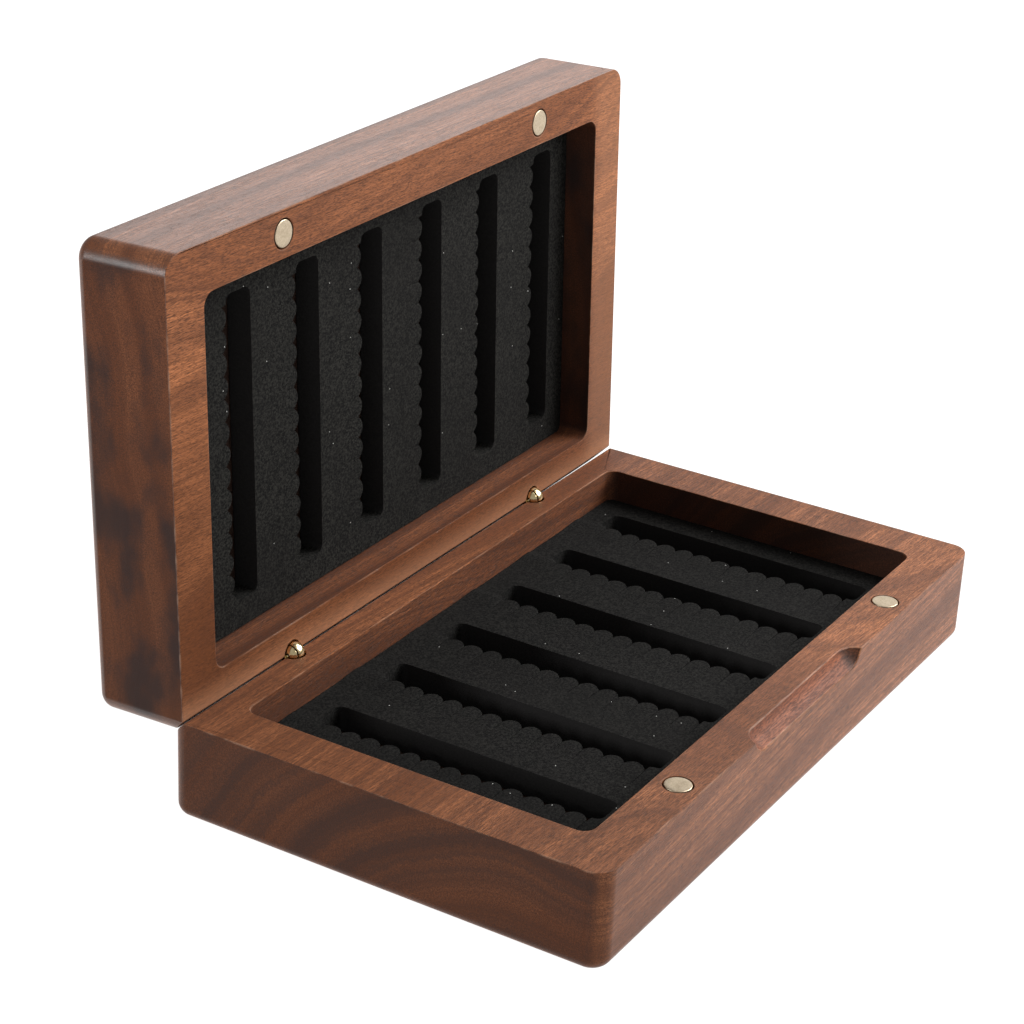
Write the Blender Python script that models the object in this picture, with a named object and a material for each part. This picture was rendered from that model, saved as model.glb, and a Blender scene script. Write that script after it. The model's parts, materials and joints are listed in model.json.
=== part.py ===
"""Hinged wooden case with slit foam in both halves.

Two walnut halves, each milled from one block, turn on two brass barrel hinges let into their
rear rims, and four disc magnets in the front rims hold them shut. Each half holds a foam insert
that lies on the wood, with slots through it that are scalloped and slit along one edge.

Metres, +Z up, front towards -Y. The origin is the centre of the base's underside. The case is
modelled open, with the lid resting where the chamfered rear rims meet. Each half is drawn in its
own frame, whose X axis is the hinge axis: a half's depth runs along -Y from there, and its
material lies on the side of the hinge axis that its direction, BELOW or ABOVE, says.
"""

from math import asin, cos, pi, radians, sin

import bmesh
import bpy
from mathutils import Matrix, Vector

MM = 0.001
BELOW, ABOVE = -1, 1

# Wooden halves
LENGTH = 180 * MM            # left to right
DEPTH = 105 * MM             # front to rear
HALF_HEIGHT = 23 * MM        # rim to outer face
WALL_END = 12 * MM
WALL_FRONT = 10.75 * MM
WALL_REAR = 10.75 * MM
CAVITY_CORNER = 3 * MM
UPRIGHT_EDGE = 4.5 * MM      # rounding of the four upright edges
OUTER_EDGE = 2.8 * MM        # rounding around the outer face

# Hinge line
HINGE_INSET = 3.8 * MM       # hinge axis in from the rear face
RIM_GAP = 0.3 * MM           # between the two rims when the case is shut
CHAMFER_LEAD = 0.2 * MM      # the chamfer starts this far in front of the hinge axis
LID_OPEN = radians(92)

# Barrel hinges
HINGE_FROM_END = 39 * MM
BARREL_RADIUS = 2.5 * MM
BARREL_LENGTH = 9 * MM       # hinge axis to the barrel's inner end
BARREL_CHAMFER = 0.4 * MM
TONGUE_WIDTH = 2 * MM
LEAF_PLAY = 0.3 * MM         # beside the tongue and beyond the leaves' round ends
PIN_RADIUS = 0.6 * MM
PIN_RECESS = 0.45 * MM       # pin's ends in from the knuckle's widest
PIN_PLAY = 0.1 * MM

# Magnets
MAGNET_FROM_END = 39 * MM
MAGNET_RADIUS = 3 * MM
MAGNET_HEIGHT = 3 * MM

# Finger notch in the front of the base
NOTCH_RADIUS = 6 * MM        # ball that cuts the notch
NOTCH_STRAIGHT = 42.4 * MM   # travel of the ball's centre
NOTCH_OUT = 2 * MM           # ball's centre in front of the front face
NOTCH_UP = 2 * MM            # ball's centre above the rim

# Foam
FOAM_RECESS = 8 * MM         # rim to foam
FOAM_THICKNESS = 6 * MM
SLOT_PITCH = 24.5 * MM
SLOT_WIDTH = 8.4 * MM        # straight edge to the tips of the lobes
SLOT_CORNER = 2 * MM
SLOT_SIDE_LAND = 7.7 * MM    # foam beside the last slot
SLOT_END_LAND = 6.3 * MM     # foam beyond the slots' ends
LOBE_PITCH = 5.05 * MM
LOBE_DEPTH = 1.4 * MM
SLIT_LENGTH = 7.5 * MM
SLIT_MOUTH = 0.3 * MM

FIT = 0.3 * MM               # clearance around a piece that sits in another
PAST = 1 * MM                # how far a cutter runs past the surface it cuts
CORNER_STEPS = 6
EDGE_STEPS = 4
TURNED_STEPS = 20
MAGNET_STEPS = 32

# Places that follow from the sizes, in a half's own frame
REAR_Y = HINGE_INSET
FRONT_Y = HINGE_INSET - DEPTH
RIM_Z = RIM_GAP / 2
OUTER_Z = RIM_Z + HALF_HEIGHT
FOAM_Z = RIM_Z + FOAM_RECESS
CAVITY_Z = FOAM_Z + FOAM_THICKNESS + FIT
CAVITY_X = LENGTH / 2 - WALL_END
CAVITY_REAR_Y = REAR_Y - WALL_REAR
CAVITY_FRONT_Y = FRONT_Y + WALL_FRONT
HINGE_X = LENGTH / 2 - HINGE_FROM_END
MAGNET_X = LENGTH / 2 - MAGNET_FROM_END
MAGNET_Y = FRONT_Y + WALL_FRONT / 2
PIVOT = Vector((0, DEPTH / 2 - HINGE_INSET, OUTER_Z))


def clear_scene():
    for obj in list(bpy.data.objects):
        bpy.data.objects.remove(obj, do_unlink=True)


def make_material(name, color, roughness, metallic=0.0):
    material = bpy.data.materials.new(name)
    material.use_nodes = True
    shader = material.node_tree.nodes["Principled BSDF"]
    shader.inputs["Base Color"].default_value = (*color, 1)
    shader.inputs["Roughness"].default_value = roughness
    shader.inputs["Metallic"].default_value = metallic
    return material


def make_frame(name, turn):
    """An empty on the hinge axis, turned about it, that carries one half."""
    frame = bpy.data.objects.new(name, None)
    frame.location = PIVOT
    frame.rotation_euler = (turn, 0, 0)
    bpy.context.collection.objects.link(frame)
    return frame


def make_object(name, bm, frame, material, smooth=False):
    bmesh.ops.recalc_face_normals(bm, faces=bm.faces)
    mesh = bpy.data.meshes.new(name)
    bm.to_mesh(mesh)
    bm.free()
    mesh.materials.append(material)
    if smooth:
        mesh.shade_smooth()
        mesh.set_sharp_from_angle(angle=radians(35))
    obj = bpy.data.objects.new(name, mesh)
    obj.parent = frame
    bpy.context.collection.objects.link(obj)
    return obj


def cut(obj, name, bm):
    """Cut the shape in bm out of obj."""
    cutter = make_object(f"{obj.name}_{name}_cutter", bm, obj.parent, obj.data.materials[0])
    cutter.hide_render = True
    cutter.display_type = "WIRE"
    boolean = obj.modifiers.new(name, "BOOLEAN")
    boolean.operation = "DIFFERENCE"
    boolean.solver = "EXACT"
    boolean.object = cutter


def arc(centre_x, centre_y, radius, start, end, steps=CORNER_STEPS):
    """Points along an arc, both ends included."""
    angles = [start + (end - start) * i / steps for i in range(steps + 1)]
    return [(centre_x + radius * cos(a), centre_y + radius * sin(a)) for a in angles]


def rounded_rectangle(x0, x1, y0, y1, radius):
    """Anticlockwise outline."""
    return [
        *arc(x1 - radius, y1 - radius, radius, 0, pi / 2),
        *arc(x0 + radius, y1 - radius, radius, pi / 2, pi),
        *arc(x0 + radius, y0 + radius, radius, pi, 1.5 * pi),
        *arc(x1 - radius, y0 + radius, radius, 1.5 * pi, 2 * pi),
    ]


def add_stack(bm, levels):
    """A solid through (outline, z) levels, whose outlines have the same number of points."""
    rings = [[bm.verts.new((x, y, z)) for x, y in outline] for outline, z in levels]
    for low, high in zip(rings, rings[1:]):
        for i in range(len(low)):
            bm.faces.new((low[i - 1], low[i], high[i], high[i - 1]))
    bm.faces.new(rings[0])
    bm.faces.new(rings[-1])


def add_prism(bm, outline, z0, z1):
    add_stack(bm, [(outline, z0), (outline, z1)])


def add_turned(bm, profile, place, steps=TURNED_STEPS):
    """A solid turned about Z from (radius, z) points, both ends on the axis, moved by place."""
    rings = []
    for radius, z in profile:
        count = steps if radius > 0 else 1
        ring = []
        for i in range(count):
            angle = 2 * pi * (i + 0.5) / steps
            ring.append(bm.verts.new(place @ Vector((radius * cos(angle), radius * sin(angle), z))))
        rings.append(ring)
    for low, high in zip(rings, rings[1:]):
        for i in range(steps):
            if len(low) == 1:
                corners = [low[0], high[i], high[i - 1]]
            elif len(high) == 1:
                corners = [low[i - 1], low[i], high[0]]
            else:
                corners = [low[i - 1], low[i], high[i], high[i - 1]]
            bm.faces.new(corners)


def add_box(bm, x0, x1, y0, y1, z0, z1):
    add_prism(bm, [(x0, y0), (x1, y0), (x1, y1), (x0, y1)], z0, z1)


def block_outline(inset):
    """The block's outline in plan, drawn in where the outer face is rounded."""
    return rounded_rectangle(
        -LENGTH / 2 + inset, LENGTH / 2 - inset, FRONT_Y + inset, REAR_Y - inset,
        UPRIGHT_EDGE - inset,
    )


def half_shell(name, frame, side, wood):
    """One milled half: block, cavity, rear chamfer, hinge holes and magnet pockets."""
    levels = [(block_outline(0), side * RIM_Z)]
    for inset, depth in arc(OUTER_EDGE, OUTER_Z - OUTER_EDGE, OUTER_EDGE, pi, pi / 2, EDGE_STEPS):
        levels.append((block_outline(inset), side * depth))
    bm = bmesh.new()
    add_stack(bm, levels)
    shell = make_object(name, bm, frame, wood, smooth=True)

    bm = bmesh.new()
    outline = rounded_rectangle(-CAVITY_X, CAVITY_X, CAVITY_FRONT_Y, CAVITY_REAR_Y, CAVITY_CORNER)
    add_prism(bm, outline, side * (RIM_Z - PAST), side * CAVITY_Z)
    cut(shell, "cavity", bm)
    cut_rear_chamfer(shell, side)
    cut_hinge_holes(shell, side)
    cut_magnet_pockets(shell, side)
    return shell


def cut_rear_chamfer(shell, side):
    """A 45 degree chamfer from the hinge axis to the rear face, which lets the half swing."""
    run = HINGE_INSET + CHAMFER_LEAD + PAST
    profile = [
        (-CHAMFER_LEAD, RIM_Z),
        (-CHAMFER_LEAD + run, RIM_Z + run),
        (-CHAMFER_LEAD + run, RIM_Z - PAST),
        (-CHAMFER_LEAD - PAST, RIM_Z - PAST),
    ]
    bm = bmesh.new()
    left = [bm.verts.new((-LENGTH / 2 - PAST, y, side * z)) for y, z in profile]
    right = [bm.verts.new((LENGTH / 2 + PAST, y, side * z)) for y, z in profile]
    for i in range(len(profile)):
        bm.faces.new((left[i - 1], left[i], right[i], right[i - 1]))
    bm.faces.new(left)
    bm.faces.new(right)
    cut(shell, "rear_chamfer", bm)


def cut_round_holes(shell, name, places, radius, z0, z1, steps):
    bm = bmesh.new()
    low, high = sorted((z0, z1))
    for x, y in places:
        add_turned(bm, [(0, low), (radius, low), (radius, high), (0, high)],
                   Matrix.Translation((x, y, 0)), steps)
    cut(shell, name, bm)


def cut_hinge_holes(shell, side):
    places = [(-HINGE_X, 0), (HINGE_X, 0)]
    bottom = side * (BARREL_LENGTH + FIT)
    cut_round_holes(shell, "hinge_holes", places, BARREL_RADIUS + FIT,
                    side * (RIM_Z - PAST), bottom, TURNED_STEPS)


def cut_magnet_pockets(shell, side):
    places = [(-MAGNET_X, MAGNET_Y), (MAGNET_X, MAGNET_Y)]
    bottom = side * (RIM_Z + MAGNET_HEIGHT + FIT)
    cut_round_holes(shell, "magnet_pockets", places, MAGNET_RADIUS + FIT,
                    side * (RIM_Z - PAST), bottom, MAGNET_STEPS)


def cut_finger_notch(shell):
    """A scoop along the base's front rim, the path of a ball-nosed cutter."""
    half = NOTCH_STRAIGHT / 2
    ball_end = arc(0, half, NOTCH_RADIUS, 0, pi / 2)[:-1]
    profile = [(0, -half - NOTCH_RADIUS)]
    profile += [(radius, -z) for radius, z in reversed(ball_end)]
    profile += ball_end
    profile.append((0, half + NOTCH_RADIUS))
    along_x = Matrix.Rotation(pi / 2, 4, "Y")
    place = Matrix.Translation((0, FRONT_Y - NOTCH_OUT, -RIM_Z + NOTCH_UP)) @ along_x
    bm = bmesh.new()
    add_turned(bm, profile, place, 4 * CORNER_STEPS)
    cut(shell, "finger_notch", bm)


def foam_outline():
    return rounded_rectangle(
        -CAVITY_X + FIT, CAVITY_X - FIT, CAVITY_FRONT_Y + FIT, CAVITY_REAR_Y - FIT,
        CAVITY_CORNER - FIT,
    )


def slot_outline(edge_x, y0, y1):
    """A slot in plan: straight along edge_x, lobes with a slit between them along the other edge."""
    tip_x = edge_x - SLOT_WIDTH
    cusp_x = tip_x - LOBE_DEPTH
    corner = SLOT_CORNER
    cusps = int((y1 - y0 - 2 * corner) / LOBE_PITCH) + 1
    middle = (y0 + y1) / 2
    chord = LOBE_PITCH - SLIT_MOUTH
    lobe_radius = (chord * chord / 4 + LOBE_DEPTH * LOBE_DEPTH) / (2 * LOBE_DEPTH)
    sweep = asin(chord / 2 / lobe_radius)

    points = arc(edge_x - corner, y1 - corner, corner, 0, pi / 2, 3)
    points += arc(tip_x + corner, y1 - corner, corner, pi / 2, pi, 3)
    for i in range(cusps):
        y = middle + LOBE_PITCH * ((cusps - 1) / 2 - i)
        points += [(cusp_x, y + SLIT_MOUTH / 2), (cusp_x - SLIT_LENGTH, y)]
        points.append((cusp_x, y - SLIT_MOUTH / 2))
        if i < cusps - 1:
            centre_x = tip_x - lobe_radius
            lobe = arc(centre_x, y - LOBE_PITCH / 2, lobe_radius, sweep, -sweep, 3)
            points += lobe[1:-1]
    points += arc(tip_x + corner, y0 + corner, corner, pi, 1.5 * pi, 3)
    points += arc(edge_x - corner, y0 + corner, corner, 1.5 * pi, 2 * pi, 3)
    return points


def foam_insert(name, frame, side, foam):
    """The slotted foam. The slots go right through it."""
    bm = bmesh.new()
    z0 = side * FOAM_Z
    z1 = side * (FOAM_Z + FOAM_THICKNESS)
    add_prism(bm, foam_outline(), z0, z1)
    insert = make_object(name, bm, frame, foam)

    right_edge = CAVITY_X - FIT - SLOT_SIDE_LAND
    tooth_room = SLOT_WIDTH + LOBE_DEPTH + SLIT_LENGTH
    count = int((right_edge + CAVITY_X - FIT - tooth_room) / SLOT_PITCH) + 1
    y0 = CAVITY_FRONT_Y + FIT + SLOT_END_LAND
    y1 = CAVITY_REAR_Y - FIT - SLOT_END_LAND
    bm = bmesh.new()
    for i in range(count):
        outline = slot_outline(right_edge - i * SLOT_PITCH, y0, y1)
        add_prism(bm, outline, z0 - side * PAST, z1 + side * PAST)
    cut(insert, "slots", bm)


def magnet(name, frame, side, x, nickel):
    bm = bmesh.new()
    low, high = sorted((side * RIM_Z, side * (RIM_Z + MAGNET_HEIGHT)))
    profile = [(0, low), (MAGNET_RADIUS, low), (MAGNET_RADIUS, high), (0, high)]
    add_turned(bm, profile, Matrix.Translation((x, MAGNET_Y, 0)), MAGNET_STEPS)
    make_object(name, bm, frame, nickel, smooth=True)


def hinge_barrel(name, frame, side, x, brass):
    """A barrel with a domed end centred on the hinge axis, before its leaves are cut."""
    radius = BARREL_RADIUS
    dome = arc(0, 0, radius, 0, pi / 2, 5)[:-1]
    profile = [
        (0, -BARREL_LENGTH),
        (radius - BARREL_CHAMFER, -BARREL_LENGTH),
        (radius, -BARREL_LENGTH + BARREL_CHAMFER),
        *dome,
        (0, radius),
    ]
    bm = bmesh.new()
    add_turned(bm, [(r, -side * z) for r, z in profile], Matrix.Translation((x, 0, 0)))
    barrel = make_object(name, bm, frame, brass, smooth=True)

    shoulder = side * (radius + LEAF_PLAY)
    tip = -side * (radius + PAST)
    z0, z1 = sorted((shoulder, tip))
    wide = radius + PAST
    tongue = TONGUE_WIDTH / 2
    bm = bmesh.new()
    if side == BELOW:
        fork = tongue + LEAF_PLAY
        add_box(bm, x - fork, x + fork, -wide, wide, z0, z1)
    else:
        add_box(bm, x - wide, x - tongue, -wide, wide, z0, z1)
        add_box(bm, x + tongue, x + wide, -wide, wide, z0, z1)
    cut(barrel, "leaves", bm)

    reach = radius + PAST
    hole = PIN_RADIUS + PIN_PLAY
    bm = bmesh.new()
    add_turned(bm, [(0, -reach), (hole, -reach), (hole, reach), (0, reach)], pin_place(x))
    cut(barrel, "pin_hole", bm)


def pin_place(x):
    return Matrix.Translation((x, 0, 0)) @ Matrix.Rotation(pi / 2, 4, "Y")


def hinge_pin(name, frame, x, brass):
    half = BARREL_RADIUS - PIN_RECESS
    bm = bmesh.new()
    add_turned(bm, [(0, -half), (PIN_RADIUS, -half), (PIN_RADIUS, half), (0, half)], pin_place(x))
    make_object(name, bm, frame, brass, smooth=True)


def main():
    clear_scene()
    walnut = make_material("walnut", (0.24, 0.125, 0.075), 0.4)
    foam = make_material("foam", (0.018, 0.018, 0.017), 0.95)
    brass = make_material("brass", (0.82, 0.62, 0.3), 0.22, 1.0)
    nickel = make_material("nickel", (0.68, 0.64, 0.55), 0.35, 1.0)

    halves = (("base", BELOW, make_frame("base_frame", 0)),
              ("lid", ABOVE, make_frame("lid_frame", -LID_OPEN)))
    for half, side, frame in halves:
        shell = half_shell(f"{half}_shell", frame, side, walnut)
        if side == BELOW:
            cut_finger_notch(shell)
        foam_insert(f"{half}_foam", frame, side, foam)
        for hand, sign in (("left", -1), ("right", 1)):
            magnet(f"{half}_magnet_{hand}", frame, side, sign * MAGNET_X, nickel)
            hinge_barrel(f"{hand}_hinge_{half}_barrel", frame, side, sign * HINGE_X, brass)
            if side == BELOW:
                hinge_pin(f"{hand}_hinge_pin", frame, sign * HINGE_X, brass)


main()
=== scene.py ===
"""Looks for the hinged walnut case with slotted foam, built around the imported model."""
import json
from math import asin, cos, pi, radians, sin
from random import Random

import bmesh
import bpy
from mathutils import Matrix, Vector, noise


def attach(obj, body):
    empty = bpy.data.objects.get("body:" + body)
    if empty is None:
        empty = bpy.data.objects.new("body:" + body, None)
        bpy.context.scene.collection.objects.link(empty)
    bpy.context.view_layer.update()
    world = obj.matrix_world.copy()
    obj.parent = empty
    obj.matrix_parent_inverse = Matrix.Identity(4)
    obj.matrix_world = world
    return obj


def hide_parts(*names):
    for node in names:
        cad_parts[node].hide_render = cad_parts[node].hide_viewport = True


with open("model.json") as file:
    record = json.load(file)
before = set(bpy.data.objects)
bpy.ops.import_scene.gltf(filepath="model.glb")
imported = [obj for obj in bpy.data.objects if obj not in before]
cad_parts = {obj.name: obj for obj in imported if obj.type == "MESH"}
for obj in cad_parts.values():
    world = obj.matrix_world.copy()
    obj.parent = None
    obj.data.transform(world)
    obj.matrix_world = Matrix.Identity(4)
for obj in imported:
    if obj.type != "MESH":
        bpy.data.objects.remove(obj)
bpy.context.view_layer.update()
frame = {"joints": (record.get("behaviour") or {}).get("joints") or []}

MM = 0.001
BELOW, ABOVE = -1, 1
JOINT = frame["joints"][0]
PIVOT = Vector(JOINT["pos_m"])
LID_OPEN = radians(JOINT["range_deg"][1])

# Wooden halves, each in its own frame: X is the hinge axis, the depth runs along -Y
LENGTH = 180 * MM
DEPTH = 105 * MM
HALF_HEIGHT = 23 * MM
WALL_END = 12 * MM
WALL_FRONT = 10.75 * MM
WALL_REAR = 10.75 * MM
CAVITY_CORNER = 3 * MM
UPRIGHT_EDGE = 4.5 * MM
OUTER_EDGE = 2.8 * MM
HINGE_INSET = 3.8 * MM       # hinge axis in from the rear face
RIM_Z = 0.15 * MM            # rim out from the hinge axis
CHAMFER_LEAD = 0.1 * MM      # the chamfer starts this far in front of the hinge axis
LID_WIDENS_FROM = 58 * MM
LID_WIDENS = 0.4 * MM        # what the lid's chamfer gains from there to the right end
FIT = 0.3 * MM               # clearance around what sits in the wood
PAST = 1 * MM                # how far a cutter runs past what it cuts
ON_FACE = 0.01 * MM          # a point this close to a face lies on it
ARRIS = 0.28 * MM            # easing of the wood's edges
HINGE_X = MAGNET_X = 51 * MM
BARREL_RADIUS = 2.5 * MM
BARREL_LENGTH = 9 * MM
BARREL_CHAMFER = 0.4 * MM
BARREL_ARRIS = 0.1 * MM
TONGUE_WIDTH = 2 * MM
LEAF_PLAY = 0.3 * MM
PIN_RADIUS = 0.6 * MM
PIN_PLAY = 0.1 * MM
PIN_HALF = 2.05 * MM
PIN_ARRIS = 0.15 * MM
MAGNET_RADIUS = 3 * MM
MAGNET_HEIGHT = 3 * MM
MAGNET_ARRIS = 0.2 * MM
NOTCH_RADIUS = 6 * MM        # ball that cuts the finger notch
NOTCH_HALF = 21.2 * MM       # travel of its centre to either side
NOTCH_OUT = 2 * MM           # its centre in front of the front face
NOTCH_UP = 2 * MM            # its centre above the rim

# Foam
FOAM_RECESS = 8 * MM
FOAM_THICKNESS = 6 * MM
SLOT_COUNT = 6
SLOT_PITCH = 24.5 * MM
SLOT_WIDTH = 8.4 * MM        # straight edge to the tips of the lobes
SLOT_CORNER = 2 * MM
SLOT_SIDE_LAND = 7.7 * MM    # foam beside the last slot
SLOT_END_LAND = 6.3 * MM     # foam beyond the slots' ends
LOBE_PITCH = 5.05 * MM
LOBE_DEPTH = 1.4 * MM
SLIT_LENGTH = 7.5 * MM
SLIT_MOUTH = 0.3 * MM
GAPE = {BELOW: 1.1, ABOVE: 0.4}    # how far the slits stand open and the tabs rise
UNEVEN = 0.05 * MM           # waviness of the foam's face
TAB_MOST = 0.5 * MM          # the most that a tab stands up

REAR_Y = HINGE_INSET
FRONT_Y = HINGE_INSET - DEPTH
OUTER_Z = RIM_Z + HALF_HEIGHT
FOAM_Z = RIM_Z + FOAM_RECESS
CAVITY_Z = FOAM_Z + FOAM_THICKNESS + FIT
CAVITY_X = LENGTH / 2 - WALL_END
CAVITY_REAR_Y = REAR_Y - WALL_REAR
CAVITY_FRONT_Y = FRONT_Y + WALL_FRONT
MAGNET_Y = FRONT_Y + WALL_FRONT / 2

LIGHT_CENTRE = Vector((0, 0, 0.04))
WORLD_STRENGTH = 0.33
FLOOR_RADIUS = 12


# ---------------------------------------------------------------- camera, light and floor

def set_camera():
    """A long lens from the front left, a little above, and level but for a slight roll."""
    azimuth, elevation, roll = radians(-59.72), radians(24.854), radians(-2.816)
    distance = 0.653526
    target = Vector((0.040482, 0.0484, 0.02305))
    back = Vector((sin(azimuth) * cos(elevation), -cos(azimuth) * cos(elevation), sin(elevation)))
    right = (-back).cross(Vector((0, 0, 1))).normalized()
    down = (-back).cross(right)
    right, down = cos(roll) * right + sin(roll) * down, -sin(roll) * right + cos(roll) * down
    data = bpy.data.cameras.new("camera")
    data.lens = 93.29
    data.sensor_width = 36
    data.clip_start = 0.01
    data.clip_end = 50
    camera = bpy.data.objects.new("camera", data)
    turn = Matrix((right, -down, back)).transposed().to_4x4()
    camera.matrix_world = Matrix.Translation(target + back * distance) @ turn
    bpy.context.collection.objects.link(camera)
    bpy.context.scene.camera = camera


def soft_light(name, direction, distance, width, height, power):
    """A softbox in that direction from the object, facing it."""
    data = bpy.data.lights.new(name, "AREA")
    data.shape = "RECTANGLE"
    data.size = width
    data.size_y = height
    data.energy = power
    light = bpy.data.objects.new(name, data)
    way = Vector(direction).normalized()
    light.location = LIGHT_CENTRE + way * distance
    light.rotation_mode = "QUATERNION"
    light.rotation_quaternion = way.to_track_quat("Z", "Y")
    bpy.context.collection.objects.link(light)


def set_light():
    world = bpy.data.worlds.new("studio")
    world.use_nodes = True
    background = world.node_tree.nodes["Background"]
    background.inputs["Color"].default_value = (1, 1, 1, 1)
    background.inputs["Strength"].default_value = WORLD_STRENGTH
    bpy.context.scene.world = world
    bpy.context.scene.view_settings.view_transform = "Standard"
    soft_light("key_softbox", (0.75, -0.62, 0.75), 0.9, 0.8, 0.7, 16.5)
    soft_light("left_strip", (-0.85, 0.46, 0.26), 1.1, 0.22, 0.3, 6)
    soft_light("back_softbox", (0.78, 0.46, 0.42), 1.2, 0.8, 0.5, 2.0)


def make_floor():
    bm = bmesh.new()
    bmesh.ops.create_circle(bm, cap_ends=True, segments=96, radius=FLOOR_RADIUS)
    mesh = bpy.data.meshes.new("floor")
    bm.to_mesh(mesh)
    bm.free()
    floor = bpy.data.objects.new("floor", mesh)
    bpy.context.collection.objects.link(floor)
    material = bpy.data.materials.new("floor_paper")
    material.use_nodes = True
    shader = material.node_tree.nodes["Principled BSDF"]
    shader.inputs["Base Color"].default_value = (0.12, 0.12, 0.12, 1)
    shader.inputs["Roughness"].default_value = 0.9
    shader.inputs["Emission Color"].default_value = (1, 1, 1, 1)
    shader.inputs["Emission Strength"].default_value = 0.99
    mesh.materials.append(material)


# ---------------------------------------------------------------- shapes

def half_matrix(side):
    """Where the half's own frame stands at rest, the lid's turned open about the hinge."""
    turn = 0 if side == BELOW else -LID_OPEN
    return Matrix.Translation(PIVOT) @ Matrix.Rotation(turn, 4, "X")


def mesh_object(name, bm, matrix, materials=()):
    bmesh.ops.recalc_face_normals(bm, faces=bm.faces)
    mesh = bpy.data.meshes.new(name)
    bm.to_mesh(mesh)
    bm.free()
    for material in materials:
        mesh.materials.append(material)
    obj = bpy.data.objects.new(name, mesh)
    obj.matrix_world = matrix
    bpy.context.collection.objects.link(obj)
    return obj


def apply_modifiers(obj):
    """Swaps the mesh for what its modifiers make of it."""
    bpy.context.view_layer.update()
    evaluated = obj.evaluated_get(bpy.context.evaluated_depsgraph_get())
    mesh = bpy.data.meshes.new_from_object(evaluated)
    obj.modifiers.clear()
    obj.data = mesh
    return obj


def cut(obj, *tools):
    """Cuts each bmesh out of obj for good."""
    cutters = []
    for i, bm in enumerate(tools):
        cutter = mesh_object(f"{obj.name}_cutter_{i}", bm, obj.matrix_world)
        boolean = obj.modifiers.new("cut", "BOOLEAN")
        boolean.operation = "DIFFERENCE"
        boolean.solver = "EXACT"
        boolean.object = cutter
        cutters.append(cutter)
    apply_modifiers(obj)
    for cutter in cutters:
        bpy.data.objects.remove(cutter)


def ease_edges(obj, width, material=-1):
    """Rounds the sharp edges, with the material of that index where one is given."""
    bevel = obj.modifiers.new("ease", "BEVEL")
    bevel.width = width
    bevel.segments = 2
    bevel.limit_method = "ANGLE"
    bevel.angle_limit = radians(35)
    bevel.use_clamp_overlap = False
    bevel.material = material
    bevel.miter_outer = "MITER_ARC"
    apply_modifiers(obj)


def smooth_shade(obj):
    obj.data.shade_smooth()
    obj.data.set_sharp_from_angle(angle=radians(40))
    weighted = obj.modifiers.new("normals", "WEIGHTED_NORMAL")
    weighted.keep_sharp = True
    weighted.weight = 100
    apply_modifiers(obj)


def arc(centre_x, centre_y, radius, start, end, steps):
    """Points along an arc, both ends included."""
    angles = [start + (end - start) * i / steps for i in range(steps + 1)]
    return [(centre_x + radius * cos(a), centre_y + radius * sin(a)) for a in angles]


def rounded_rectangle(x0, x1, y0, y1, radius, steps=12):
    return [
        *arc(x1 - radius, y1 - radius, radius, 0, pi / 2, steps),
        *arc(x0 + radius, y1 - radius, radius, pi / 2, pi, steps),
        *arc(x0 + radius, y0 + radius, radius, pi, 1.5 * pi, steps),
        *arc(x1 - radius, y0 + radius, radius, 1.5 * pi, 2 * pi, steps),
    ]


def add_stack(bm, levels):
    """A solid through (outline, z) levels, whose outlines have the same number of points."""
    rings = [[bm.verts.new((x, y, z)) for x, y in outline] for outline, z in levels]
    for low, high in zip(rings, rings[1:]):
        for i in range(len(low)):
            bm.faces.new((low[i - 1], low[i], high[i], high[i - 1]))
    bm.faces.new(rings[0])
    bm.faces.new(rings[-1])


def add_prism(bm, outline, z0, z1):
    add_stack(bm, [(outline, z0), (outline, z1)])


def add_box(bm, x0, x1, y0, y1, z0, z1):
    add_prism(bm, [(x0, y0), (x1, y0), (x1, y1), (x0, y1)], z0, z1)


def add_turned(bm, profile, place, steps):
    """A solid turned about Z from (radius, z) points, both ends on the axis, moved by place."""
    rings = []
    for radius, z in profile:
        ring = []
        for i in range(steps if radius > 0 else 1):
            angle = 2 * pi * (i + 0.5) / steps
            ring.append(bm.verts.new(place @ Vector((radius * cos(angle), radius * sin(angle), z))))
        rings.append(ring)
    for low, high in zip(rings, rings[1:]):
        for i in range(steps):
            if len(low) == 1:
                corners = [low[0], high[i], high[i - 1]]
            elif len(high) == 1:
                corners = [low[i - 1], low[i], high[0]]
            else:
                corners = [low[i - 1], low[i], high[i], high[i - 1]]
            bm.faces.new(corners)


def turned(profile, places, steps):
    bm = bmesh.new()
    for place in places:
        add_turned(bm, profile, place, steps)
    return bm


# ---------------------------------------------------------------- wooden halves

def block_outline(inset):
    return rounded_rectangle(
        -LENGTH / 2 + inset, LENGTH / 2 - inset, FRONT_Y + inset, REAR_Y - inset,
        UPRIGHT_EDGE - inset,
    )


def chamfer_tool(side):
    """The rear chamfer. On the lid it runs out a little wider towards the right end."""
    run = HINGE_INSET + CHAMFER_LEAD + PAST
    stations = [(-LENGTH / 2 - PAST, 0), (LID_WIDENS_FROM, 0), (LENGTH / 2 + PAST, LID_WIDENS)]
    bm = bmesh.new()
    rings = []
    for x, wider in stations:
        lead = CHAMFER_LEAD + (wider if side == ABOVE else 0)
        profile = [
            (-lead, RIM_Z),
            (-lead + run + wider, RIM_Z + run + wider),
            (-lead + run + wider, RIM_Z - PAST),
            (-lead - PAST, RIM_Z - PAST),
        ]
        rings.append([bm.verts.new((x, y, side * z)) for y, z in profile])
    for left, right in zip(rings, rings[1:]):
        for i in range(len(left)):
            bm.faces.new((left[i - 1], left[i], right[i], right[i - 1]))
    bm.faces.new(rings[0])
    bm.faces.new(rings[-1])
    return bm


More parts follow.
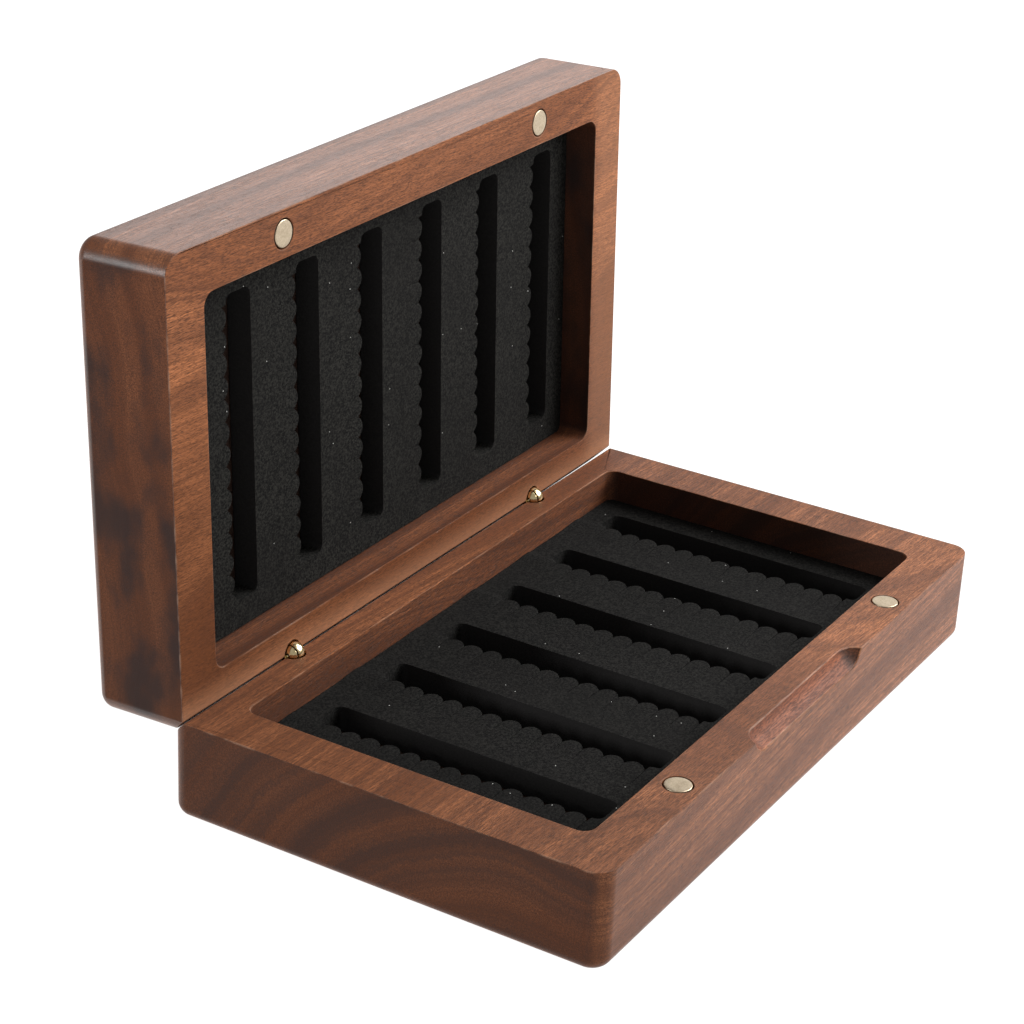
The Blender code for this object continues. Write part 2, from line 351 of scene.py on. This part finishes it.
def round_holes_tool(side, xs, y, radius, bottom, steps):
    low, high = sorted((side * (RIM_Z - PAST), side * bottom))
    profile = [(0, low), (radius, low), (radius, high), (0, high)]
    return turned(profile, [Matrix.Translation((x, y, 0)) for x in xs], steps)


def notch_tool():
    """The path of a ball along X, cut into the front of the base's rim."""
    ball_end = arc(0, NOTCH_HALF, NOTCH_RADIUS, 0, pi / 2, 10)[:-1]
    profile = [(0, -NOTCH_HALF - NOTCH_RADIUS)]
    profile += [(radius, -z) for radius, z in reversed(ball_end)]
    profile += ball_end
    profile.append((0, NOTCH_HALF + NOTCH_RADIUS))
    along_x = Matrix.Rotation(pi / 2, 4, "Y")
    place = Matrix.Translation((0, FRONT_Y - NOTCH_OUT, -RIM_Z + NOTCH_UP)) @ along_x
    return turned(profile, [place], 48)


def in_cavity(point, side):
    """Whether a point lies on the cavity's walls or floor."""
    near = 2 * ON_FACE
    return (abs(point.x) < CAVITY_X + near
            and CAVITY_FRONT_Y - near < point.y < CAVITY_REAR_Y + near
            and RIM_Z + ON_FACE < side * point.z < CAVITY_Z + near)


def wooden_half(name, side, node, body, materials):
    """One milled half, its arrises eased. materials: faces, milled faces, and worn arrises with a
    painted highlight.
    """
    levels = [(block_outline(0), side * RIM_Z)]
    for inset, depth in arc(OUTER_EDGE, OUTER_Z - OUTER_EDGE, OUTER_EDGE, pi, pi / 2, 8):
        levels.append((block_outline(inset), side * depth))
    bm = bmesh.new()
    add_stack(bm, levels)
    half = mesh_object(name, bm, half_matrix(side), materials)

    cavity = bmesh.new()
    outline = rounded_rectangle(-CAVITY_X, CAVITY_X, CAVITY_FRONT_Y, CAVITY_REAR_Y, CAVITY_CORNER)
    add_prism(cavity, outline, side * (RIM_Z - PAST), side * CAVITY_Z)
    painted_shade_pocket = RIM_Z + MAGNET_HEIGHT + FIT
    tools = [
        cavity,
        chamfer_tool(side),
        round_holes_tool(side, (-HINGE_X, HINGE_X), 0, BARREL_RADIUS + FIT,
                         BARREL_LENGTH + FIT, 32),
        round_holes_tool(side, (-MAGNET_X, MAGNET_X), MAGNET_Y, MAGNET_RADIUS + FIT, painted_shade_pocket, 48),
    ]
    if side == BELOW:
        tools.append(notch_tool())
    cut(half, *tools)
    for face in half.data.polygons:
        middle = face.center
        on_rim = abs(middle.z - side * RIM_Z) < ON_FACE
        in_notch = side == BELOW and not on_rim and near_notch(middle)
        face.material_index = 1 if in_cavity(middle, side) or in_notch else 0
    ease_edges(half, ARRIS, material=2)
    smooth_shade(half)
    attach(half, body)
    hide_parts(node)
    return half


def near_notch(point):
    """Whether a point lies on the finger notch's own surface."""
    axis = Vector((max(-NOTCH_HALF, min(NOTCH_HALF, point.x)), FRONT_Y - NOTCH_OUT,
                   -RIM_Z + NOTCH_UP))
    return abs((point - axis).length - NOTCH_RADIUS) < 0.2 * MM


# ---------------------------------------------------------------- foam

def slot_cusps(y0, y1):
    """How many cusps, each with a slit, a slot from y0 to y1 has."""
    return int((y1 - y0 - 2 * SLOT_CORNER) / LOBE_PITCH) + 1


def slot_outline(edge_x, y0, y1, gape, rng):
    """A slot in plan: straight along edge_x, uneven lobes and slits along the other edge.

    gape is how far the slits stand open, as a share of SLIT_MOUTH.
    """
    tip_x = edge_x - SLOT_WIDTH
    cusp_x = tip_x - LOBE_DEPTH
    corner = SLOT_CORNER
    cusps = slot_cusps(y0, y1)
    middle = (y0 + y1) / 2
    points = arc(edge_x - corner, y1 - corner, corner, 0, pi / 2, 6)
    points += arc(tip_x + corner, y1 - corner, corner, pi / 2, pi, 6)
    for i in range(cusps):
        y = middle + LOBE_PITCH * ((cusps - 1) / 2 - i)
        mouth = SLIT_MOUTH * gape * rng.uniform(0.5, 1.1)
        length = SLIT_LENGTH * rng.uniform(0.75, 1.08)
        lean = rng.uniform(-0.25, 0.25) * MM
        points += [
            (cusp_x, y + mouth / 2),
            (cusp_x - length * 0.5, y + mouth * 0.3 + lean * 0.7),
            (cusp_x - length, y + lean),
            (cusp_x - length * 0.5, y - mouth * 0.3 + lean * 0.7),
            (cusp_x, y - mouth / 2),
        ]
        if i < cusps - 1:
            depth = LOBE_DEPTH * rng.uniform(0.85, 1.1)
            chord = LOBE_PITCH - SLIT_MOUTH
            radius = (chord * chord / 4 + depth * depth) / (2 * depth)
            sweep = asin(chord / 2 / radius)
            lobe = arc(cusp_x + depth - radius, y - LOBE_PITCH / 2, radius, sweep, -sweep, 8)
            points += lobe[1:-1]
    points += arc(tip_x + corner, y0 + corner, corner, pi, 1.5 * pi, 6)
    points += arc(edge_x - corner, y0 + corner, corner, 1.5 * pi, 2 * pi, 6)
    return points


def foam_slab(name, side, materials):
    """The uncut slab, its face a fine grid so that it can bulge."""
    x0, x1 = -CAVITY_X + FIT, CAVITY_X - FIT
    y0, y1 = CAVITY_FRONT_Y + FIT, CAVITY_REAR_Y - FIT
    bm = bmesh.new()
    bmesh.ops.create_grid(bm, x_segments=150, y_segments=80, size=0.5)
    for vert in bm.verts:
        vert.co = ((x0 + x1) / 2 + vert.co.x * (x1 - x0), (y0 + y1) / 2 + vert.co.y * (y1 - y0),
                   side * FOAM_Z)
    rim = [edge for edge in bm.edges if edge.is_boundary]
    made = bmesh.ops.extrude_edge_only(bm, edges=rim)["geom"]
    low = [v for v in made if isinstance(v, bmesh.types.BMVert)]
    for vert in low:
        vert.co.z = side * (FOAM_Z + FOAM_THICKNESS)
    bmesh.ops.contextual_create(bm, geom=[e for e in bm.edges if e.is_boundary])
    return mesh_object(name, bm, half_matrix(side), materials)


def foam_insert(name, side, node, body, material, seed):
    rng = Random(seed)
    gape = GAPE[side]
    slab = foam_slab(name, side, [material])
    y0 = CAVITY_FRONT_Y + FIT + SLOT_END_LAND
    y1 = CAVITY_REAR_Y - FIT - SLOT_END_LAND
    slots = bmesh.new()
    edges = [CAVITY_X - FIT - SLOT_SIDE_LAND - i * SLOT_PITCH for i in range(SLOT_COUNT)]
    for edge in edges:
        add_prism(slots, slot_outline(edge, y0, y1, gape, rng), side * (FOAM_Z - PAST),
                  side * (FOAM_Z + FOAM_THICKNESS + PAST))
    cut(slab, slots)
    first_slit = (y0 + y1) / 2 - LOBE_PITCH * (slot_cusps(y0, y1) - 1) / 2
    bulge_tabs(slab, side, edges, first_slit, gape, rng)
    slab.data.shade_smooth()
    slab.data.set_sharp_from_angle(angle=radians(50))
    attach(slab, body)
    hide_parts(node)


def bulge_tabs(slab, side, edges, first_slit, gape, rng):
    """Lifts each tab between two slits by its own amount and lean, and leaves the rest uneven."""
    lifts = {}
    for vert in slab.data.vertices:
        if abs(vert.co.z - side * FOAM_Z) > ON_FACE:
            continue
        x, y = vert.co.x, vert.co.y
        lift = UNEVEN * noise.noise(Vector((x, y, side)) * 60)
        for i, edge in enumerate(edges):
            along = edge - SLOT_WIDTH - x
            if -0.2 * MM <= along <= SLIT_LENGTH + LOBE_DEPTH:
                tab, across = divmod((y - first_slit) / LOBE_PITCH, 1)
                if (i, tab) not in lifts:
                    lifts[i, tab] = gape * rng.uniform(0.15, 0.42) * MM, rng.uniform(-0.8, 0.8)
                height, lean = lifts[i, tab]
                crown = 1 - (2 * across - 1) ** 2
                fade = 1 - max(along, 0) / (SLIT_LENGTH + LOBE_DEPTH)
                shape = 0.3 + 0.7 * crown + lean * (across - 0.5)
                lift += height * shape * fade * fade * (3 - 2 * fade)
        vert.co.z -= side * min(lift, TAB_MOST)


# ---------------------------------------------------------------- magnets and hinges

def magnet(name, side, x, node, body, material):
    low, high = RIM_Z, RIM_Z + MAGNET_HEIGHT
    rim = arc(MAGNET_RADIUS - MAGNET_ARRIS, low + MAGNET_ARRIS, MAGNET_ARRIS, -pi / 2, 0, 3)
    profile = [(0, low), (MAGNET_RADIUS * 0.6, low), *rim, (MAGNET_RADIUS, high), (0, high)]
    bm = turned([(r, side * z) for r, z in profile], [Matrix.Translation((x, MAGNET_Y, 0))], 64)
    disc = mesh_object(name, bm, half_matrix(side), [material])
    smooth_shade(disc)
    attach(disc, body)
    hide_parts(node)


def hinge_barrel(name, side, x, node, body, material):
    """A turned barrel with a ball end, forked on the base, with a tongue on the lid."""
    radius = BARREL_RADIUS
    profile = [
        (0, -BARREL_LENGTH),
        (radius - BARREL_CHAMFER, -BARREL_LENGTH),
        (radius, -BARREL_LENGTH + BARREL_CHAMFER),
        *arc(0, 0, radius, 0, pi / 2, 14)[:-1],
        (0, radius),
    ]
    bm = turned([(r, -side * z) for r, z in profile], [Matrix.Translation((x, 0, 0))], 64)
    barrel = mesh_object(name, bm, half_matrix(side), [material])
    z0, z1 = sorted((side * (radius + LEAF_PLAY), -side * (radius + PAST)))
    wide = radius + PAST
    tongue = TONGUE_WIDTH / 2
    leaves = bmesh.new()
    if side == BELOW:
        fork = tongue + LEAF_PLAY
        add_box(leaves, x - fork, x + fork, -wide, wide, z0, z1)
    else:
        add_box(leaves, x - wide, x - tongue, -wide, wide, z0, z1)
        add_box(leaves, x + tongue, x + wide, -wide, wide, z0, z1)
    hole = PIN_RADIUS + PIN_PLAY
    pin_hole = turned([(0, -wide), (hole, -wide), (hole, wide), (0, wide)], [pin_place(x)], 32)
    cut(barrel, leaves, pin_hole)
    ease_edges(barrel, BARREL_ARRIS)
    smooth_shade(barrel)
    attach(barrel, body)
    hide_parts(node)


def pin_place(x):
    """Turns what is made along Z to lie along the hinge axis, at x."""
    return Matrix.Translation((x, 0, 0)) @ Matrix.Rotation(pi / 2, 4, "Y")


def hinge_pin(name, x, node, material):
    right = arc(PIN_RADIUS - PIN_ARRIS, PIN_HALF - PIN_ARRIS, PIN_ARRIS, 0, pi / 2, 3)
    profile = [(0, -PIN_HALF), *[(r, -z) for r, z in reversed(right)], *right, (0, PIN_HALF)]
    pin = mesh_object(name, turned(profile, [pin_place(x)], 32), half_matrix(BELOW), [material])
    smooth_shade(pin)
    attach(pin, "base")
    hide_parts(node)


# ---------------------------------------------------------------- materials

GRAIN_LEAN = {BELOW: 3.5, ABOVE: -2}             # degrees
RING_HEART = {BELOW: (-0.092, -0.055), ABOVE: (-0.02, 0.32)}
RING_WANDER = 12 * MM
RING_DRIFT = 0.02                                # the rings' lean along the board
RING_SHIVER = 4 * MM
BOARD_APART = 0.37                               # along the grain, for two different boards
FIBRE_SHARE = {BELOW: 0.75, ABOVE: 0.6}
OUTER_GLOSS = {BELOW: 0.12, ABOVE: 0.46}
RIM_GLOSS = {BELOW: 0.24, ABOVE: 0.09}
END_GLOSS = 0.09
MILLED_GLOSS = 0.35
NOTCH_GLOSS = 0.23
GRAIN_RELIEF = 0.04 * MM


class Graph:
    """A few short words for building one material's nodes."""

    def __init__(self, name):
        self.material = bpy.data.materials.new(name)
        self.material.use_nodes = True
        self.tree = self.material.node_tree
        self.shader = self.tree.nodes["Principled BSDF"]
        self.coords = self.tree.nodes.new("ShaderNodeTexCoord")

    def put(self, socket, value):
        """Links a socket, or sets a number or colour, on an input."""
        if isinstance(value, bpy.types.NodeSocket):
            self.tree.links.new(value, socket)
        elif isinstance(value, tuple) and len(value) == 3 and socket.type == "RGBA":
            socket.default_value = (*value, 1)
        else:
            socket.default_value = value

    def node(self, kind, inputs, **settings):
        made = self.tree.nodes.new(kind)
        for key, value in settings.items():
            setattr(made, key, value)
        for key, value in inputs.items():
            self.put(made.inputs[key], value)
        return made

    def math(self, operation, a, b=0.0, c=0.0):
        return self.node("ShaderNodeMath", {0: a, 1: b, 2: c}, operation=operation).outputs[0]

    def times(self, a, b):
        return self.math("MULTIPLY", a, b)

    def split(self, vector):
        return self.node("ShaderNodeSeparateXYZ", {"Vector": vector}).outputs

    def fall(self, mask, low):
        """1 where the mask is 0, down to low where it is 1."""
        return self.math("MULTIPLY_ADD", mask, low - 1, 1.0)

    def scaled(self, vector, scale, offset=(0, 0, 0), turn=(0, 0, 0)):
        made = self.node("ShaderNodeMapping", {"Vector": vector, "Scale": scale,
                                               "Location": offset, "Rotation": turn})
        return made.outputs[0]

    def noise(self, vector, scale, detail=2.0, roughness=0.5):
        made = self.node("ShaderNodeTexNoise", {
            "Vector": vector, "Scale": scale, "Detail": detail, "Roughness": roughness})
        return made.outputs["Fac"]

    def streaks(self, vector, scale, detail=2.0, roughness=0.5):
        """Noise stretched by its own scale along each axis."""
        return self.noise(self.scaled(vector, scale), 1, detail, roughness)

    def noise_1d(self, w, scale, detail=2.0, roughness=0.5):
        """Noise along one number. Its inputs exist only once its dimensions are set."""
        made = self.tree.nodes.new("ShaderNodeTexNoise")
        made.noise_dimensions = "1D"
        for key, value in {"W": w, "Scale": scale, "Detail": detail,
                           "Roughness": roughness}.items():
            self.put(made.inputs[key], value)
        return made.outputs["Fac"]

    def step(self, value, low, high, out_low=0.0, out_high=1.0):
        """A smooth step from out_low to out_high as value goes from low to high."""
        made = self.node("ShaderNodeMapRange", {
            "Value": value, "From Min": low, "From Max": high, "To Min": out_low,
            "To Max": out_high}, interpolation_type="SMOOTHSTEP")
        return made.outputs["Result"]

    def mix(self, factor, a, b, blend="MIX"):
        made = self.tree.nodes.new("ShaderNodeMix")
        made.data_type = "RGBA"
        made.blend_type = blend
        self.put(made.inputs[0], factor)
        self.put(made.inputs[6], a)
        self.put(made.inputs[7], b)
        return made.outputs[2]

    def bump(self, height, strength, distance):
        inputs = {"Height": height, "Strength": strength, "Distance": distance}
        return self.node("ShaderNodeBump", inputs).outputs[0]

    def set(self, **values):
        """Sets the shader's inputs, their names with _ for a space, and gives the material."""
        for key, value in values.items():
            self.put(self.shader.inputs[key.replace("_", " ")], value)
        return self.material


def srgb(red, green, blue):
    """A colour on a screen, 0 to 255, as the shader wants it."""
    def linear(value):
        value /= 255
        return value / 12.92 if value <= 0.04045 else ((value + 0.055) / 1.055) ** 2.4
    return linear(red), linear(green), linear(blue)


def ring_radius(g, place, heart):
    """Distance from the heart of the tree, uneven enough for the growth rings to wander."""
    parts = g.split(place)
    wander = g.times(g.math("SUBTRACT", g.streaks(place, (7, 26, 26), 1), 0.5), RING_WANDER)
    y = g.math("SUBTRACT", parts["Y"], heart[0])
    z = g.math("SUBTRACT", parts["Z"], heart[1])
    radius = g.math("SQRT", g.math("ADD", g.times(y, y), g.times(z, z)))
    radius = g.math("ADD", radius, wander)
    return g.math("MULTIPLY_ADD", parts["X"], RING_DRIFT, radius)


def wood_pores(g, place, radius):
    """Short dark pores along the grain, more of them in some rings."""
    belt = g.times(g.math("SUBTRACT", g.noise_1d(radius, 200, 1), 0.5), 0.16)
    return g.step(g.math("ADD", g.streaks(place, (480, 5600, 5600), 1, 0.4), belt), 0.57, 0.68)


def figure_color(g, side, place, radius, fibre, pores, end):
    """The wood's figure: bands and lines of its rings, calmer at the ends, clouds and fibre."""
    bands = g.math("SUBTRACT", g.step(g.noise_1d(radius, 110, 2, 0.5), 0.3, 0.62), 0.5)
    bands = g.math("MULTIPLY_ADD", bands, g.fall(end, 0.45), 0.5)
    lines = g.step(g.noise_1d(radius, 900, 3, 0.7), 0.3, 0.72, 0, 0.7)
    cloud = g.streaks(place, (14, 30, 30), 3, 0.5)
    fleck = g.streaks(place, (900, 6000, 6000), 1, 0.5)
    color = g.mix(bands, srgb(113, 65, 38), srgb(176, 112, 73))
    color = g.mix(g.step(cloud, 0.35, 0.7, 0, 0.45), color, srgb(124, 70, 38))
    color = g.mix(g.times(lines, g.fall(end, 0.4)), color, srgb(92, 55, 38))
    color = g.mix(g.step(fibre, 0.34, 0.66, 0, FIBRE_SHARE[side]), color, srgb(94, 56, 34))
    color = g.mix(g.times(pores, 0.6), color, srgb(49, 31, 23))
    return g.mix(g.step(fleck, 0.42, 0.66, 0, 0.55), color, srgb(62, 39, 28))


def painted_light_and_shade(g, side, spot, rim, color):
    """Painted shade: darker towards the left end. Painted light: the lid's rim is paler at its
    right end and by the hinges.
    """
    # Painted shade: the wood darkened towards the left end, on the lid only towards the hinge.
    fade = g.step(spot["X"], -LENGTH / 2, 0, 0.34, 0)
    if side == ABOVE:
        fade = g.times(fade, g.step(spot["Y"], -DEPTH * 0.75, -DEPTH * 0.25))
    color = g.mix(fade, color, srgb(82, 48, 28))
    if side == BELOW:
        return color
    # Painted light: the lid's rim lightened towards a pale tone at its right end and by the hinges.
    painted_light_end = g.step(spot["X"], CAVITY_X - 4 * MM, CAVITY_X + 4 * MM, 0, 0.1)
    painted_light_rear = g.step(spot["Y"], CAVITY_REAR_Y, REAR_Y, 0, 0.35)
    painted_light = g.times(g.math("ADD", painted_light_end, painted_light_rear), rim)
    return g.mix(painted_light, color, srgb(214, 160, 124))


def end_grain_color(g, side, place, radius, color):
    """End grain drinks the oil: dark, ringed on the base and clouded on the lid."""
    if side == BELOW:
        dark = g.mix(1.0, color, (0.52, 0.49, 0.5), "MULTIPLY")
        wave = g.streaks(place, (30, 700, 700), 3, 0.7)
        ring = g.math("MULTIPLY_ADD", wave, RING_SHIVER, radius)
        patches = g.step(g.noise_1d(ring, 100, 3, 0.6), 0.34, 0.68, 0, 0.62)
        return g.mix(patches, dark, srgb(44, 31, 27))
    dark = g.mix(1.0, color, (0.5, 0.47, 0.47), "MULTIPLY")
    patches = g.step(g.streaks(place, (20, 40, 70), 3, 0.55), 0.44, 0.64, 0, 0.8)
    return g.mix(patches, dark, srgb(36, 27, 26))


def walnut(name, side, seed, heart, kind):
    """Oiled walnut with the grain along X. heart is the middle of the growth rings, in (y, z).

    kind is face, milled for the cavity and the finger notch, or worn_and_highlit for the eased
    arrises, which carry real wear and a painted highlight.
    """
    g = Graph(name)
    lean = radians(GRAIN_LEAN[side])
    place = g.scaled(g.coords.outputs["Object"], (1, 1, 1), (seed * BOARD_APART, 0, 0),
                     (0, lean, lean))
    spot = g.split(g.coords.outputs["Object"])
    normal = g.split(g.coords.outputs["Normal"])
    toward_end = g.math("ABSOLUTE", normal["X"])
    end = g.step(toward_end, 0.72, 0.98)
    flat_end = g.step(toward_end, 0.97, 0.999)
    rim = g.step(g.times(normal["Z"], -side), 0.6, 0.97)
    radius = ring_radius(g, place, heart)
    fibre = g.streaks(place, (60, 2600, 2600), 2, 0.7)
    pores = wood_pores(g, place, radius)

    color = figure_color(g, side, place, radius, fibre, pores, end)
    color = painted_light_and_shade(g, side, spot, rim, color)
    color = g.mix(end, color, end_grain_color(g, side, place, radius, color))
    height = g.math("MULTIPLY_ADD", pores, -0.8, g.times(fibre, 0.35))
    if kind == "milled":
        tint = (0.66, 0.6, 0.56)
        gloss = MILLED_GLOSS
        if side == BELOW:
            notch = g.step(spot["Y"], CAVITY_FRONT_Y - 1 * MM, CAVITY_FRONT_Y - 2 * MM)
            # Painted shade: the finger notch's right end darkened.
            painted_shade_pocket = g.step(spot["X"], NOTCH_HALF - 1 * MM, NOTCH_HALF + 2 * MM)
            tint = g.mix(notch, tint, (0.78, 0.61, 0.51))
            tint = g.mix(g.times(notch, painted_shade_pocket), tint, (0.3, 0.26, 0.24))
            gloss = g.math("MULTIPLY_ADD", notch, NOTCH_GLOSS - MILLED_GLOSS, MILLED_GLOSS)
            height = g.times(height, g.fall(notch, 0.4))
        # Painted shade: the cavity deeper than the foam's face, under the slots, darkened to
        # near-black brown.
        painted_shade_deep = g.step(g.math("ABSOLUTE", spot["Z"]), FOAM_Z + 2 * MM, FOAM_Z + 3 * MM)
        color = g.mix(1.0, color, tint, "MULTIPLY")
        color = g.mix(painted_shade_deep, color, srgb(50, 34, 27))
        return g.set(Base_Color=color, Roughness=g.step(fibre, 0.2, 0.8, 0.5, 0.66),
                     Specular_IOR_Level=gloss, Normal=g.bump(height, 0.9, GRAIN_RELIEF))

    if kind == "worn_and_highlit":
        # Real wear and a painted highlight: pale streaks mixed in along the eased arrises.
        wear_and_highlight = g.step(g.streaks(place, (90, 260, 260)), 0.42, 0.68, 0, 0.2)
        color = g.mix(wear_and_highlight, color, srgb(184, 148, 124))
    roughness = g.math("MULTIPLY_ADD", rim, 0.24, g.step(fibre, 0.2, 0.8, 0.27, 0.37))
    outer = OUTER_GLOSS[side]
    gloss = g.math("MULTIPLY_ADD", rim, RIM_GLOSS[side] - outer, outer)
    gloss = g.math("MULTIPLY_ADD", flat_end, END_GLOSS - outer, gloss)
    return g.set(Base_Color=color, Roughness=roughness, Specular_IOR_Level=gloss,
                 Normal=g.bump(height, 0.4, GRAIN_RELIEF))


def foam_black(name, crest_with_painted_shade):
    """Closed-cell foam: dull black, finely grained up to the crest colour, with a little dust.
    Painted light: the slot walls facing along X are lightened.
    """
    g = Graph(name)
    place = g.coords.outputs["Object"]
    grain = g.noise(place, 1900, 3, 0.8)
    patch = g.noise(place, 45, 3, 0.5)
    # The grain runs up to the crest colour, which is darker on the base as painted shade.
    color = g.mix(g.step(grain, 0.38, 0.66), srgb(8, 8, 8), crest_with_painted_shade)
    color = g.mix(g.step(patch, 0.3, 0.75, 0, 0.35), color, srgb(18, 17, 16))
    normal = g.split(g.coords.outputs["Normal"])
    # Painted light: the slot walls facing along X lightened towards grey.
    painted_light_long_wall = g.step(g.math("ABSOLUTE", normal["X"]), 0.5, 0.9, 0, 0.75)
    color = g.mix(painted_light_long_wall, color, srgb(42, 41, 41))
    cells = g.node("ShaderNodeTexVoronoi", {"Vector": place, "Scale": 130.0},
                   voronoi_dimensions="2D")
    chance = g.node("ShaderNodeSeparateColor", {0: cells.outputs["Color"]}).outputs
    near = g.step(cells.outputs["Distance"], 0.008, 0.022, 1, 0)
    flat = g.math("GREATER_THAN", g.math("ABSOLUTE", normal["Z"]), 0.7)
    dust = g.times(g.times(near, g.math("GREATER_THAN", chance[0], 0.8)), flat)
    color = g.mix(dust, color, srgb(190, 190, 185))
    height = g.math("MULTIPLY_ADD", patch, 0.4, grain)
    return g.set(Base_Color=color, Roughness=g.step(grain, 0.3, 0.7, 0.98, 0.9),
                 Specular_IOR_Level=0.1, Normal=g.bump(height, 0.6, 0.00012))


def nickel():
    """The magnets' plating, matt and a little blotched."""
    g = Graph("nickel")
    place = g.coords.outputs["Object"]
    speck = g.noise(place, 3000, 3, 0.6)
    blot = g.noise(place, 420, 3, 0.6)
    color = g.mix(g.step(speck, 0.3, 0.7), srgb(188, 172, 149), srgb(167, 152, 128))
    color = g.mix(g.step(blot, 0.5, 0.75, 0, 0.35), color, srgb(128, 114, 92))
    return g.set(Base_Color=color, Metallic=1.0, Roughness=g.step(blot, 0.2, 0.8, 0.34, 0.5),
                 Normal=g.bump(speck, 0.25, 0.00003))


def brass():
    """The hinges' polished brass, smeared and finely scratched."""
    g = Graph("brass")
    place = g.coords.outputs["Object"]
    smear = g.noise(place, 900, 3, 0.6)
    scratch = g.streaks(place, (400, 9000, 9000))
    color = g.mix(g.step(smear, 0.4, 0.75, 0, 0.5), srgb(250, 230, 180), srgb(222, 190, 130))
    return g.set(Base_Color=color, Metallic=1.0, Roughness=g.step(smear, 0.2, 0.8, 0.1, 0.22),
                 Normal=g.bump(scratch, 0.1, 0.00001))


# ---------------------------------------------------------------- the object

def build():
    foams = {
        # Painted shade: the base's foam has a darker crest than the lid's, though it is the same
        # foam.
        BELOW: foam_black("foam_base", srgb(35, 34, 32)),
        ABOVE: foam_black("foam_lid", srgb(41, 40, 37)),
    }
    plated = nickel()
    polished = brass()
    for half, side in (("base", BELOW), ("lid", ABOVE)):
        seed = 1 if side == BELOW else 2
        woods = [walnut(f"walnut_{half}_{kind}", side, seed, RING_HEART[side], kind)
                 for kind in ("face", "milled", "worn_and_highlit")]
        wooden_half(f"{half}_wood", side, f"{half}_shell", half, woods)
        foam_insert(f"{half}_foam_insert", side, f"{half}_foam", half, foams[side], 11 + seed)
        for hand, sign in (("left", -1), ("right", 1)):
            magnet(f"{half}_{hand}_disc_magnet", side, sign * MAGNET_X,
                   f"{half}_magnet_{hand}", half, plated)
            hinge_barrel(f"{hand}_hinge_{half}_leaf", side, sign * HINGE_X,
                         f"{hand}_hinge_{half}_barrel", half, polished)
            if side == BELOW:
                hinge_pin(f"{hand}_hinge_pivot_pin", sign * HINGE_X, f"{hand}_hinge_pin", polished)


set_camera()
set_light()
make_floor()
build()
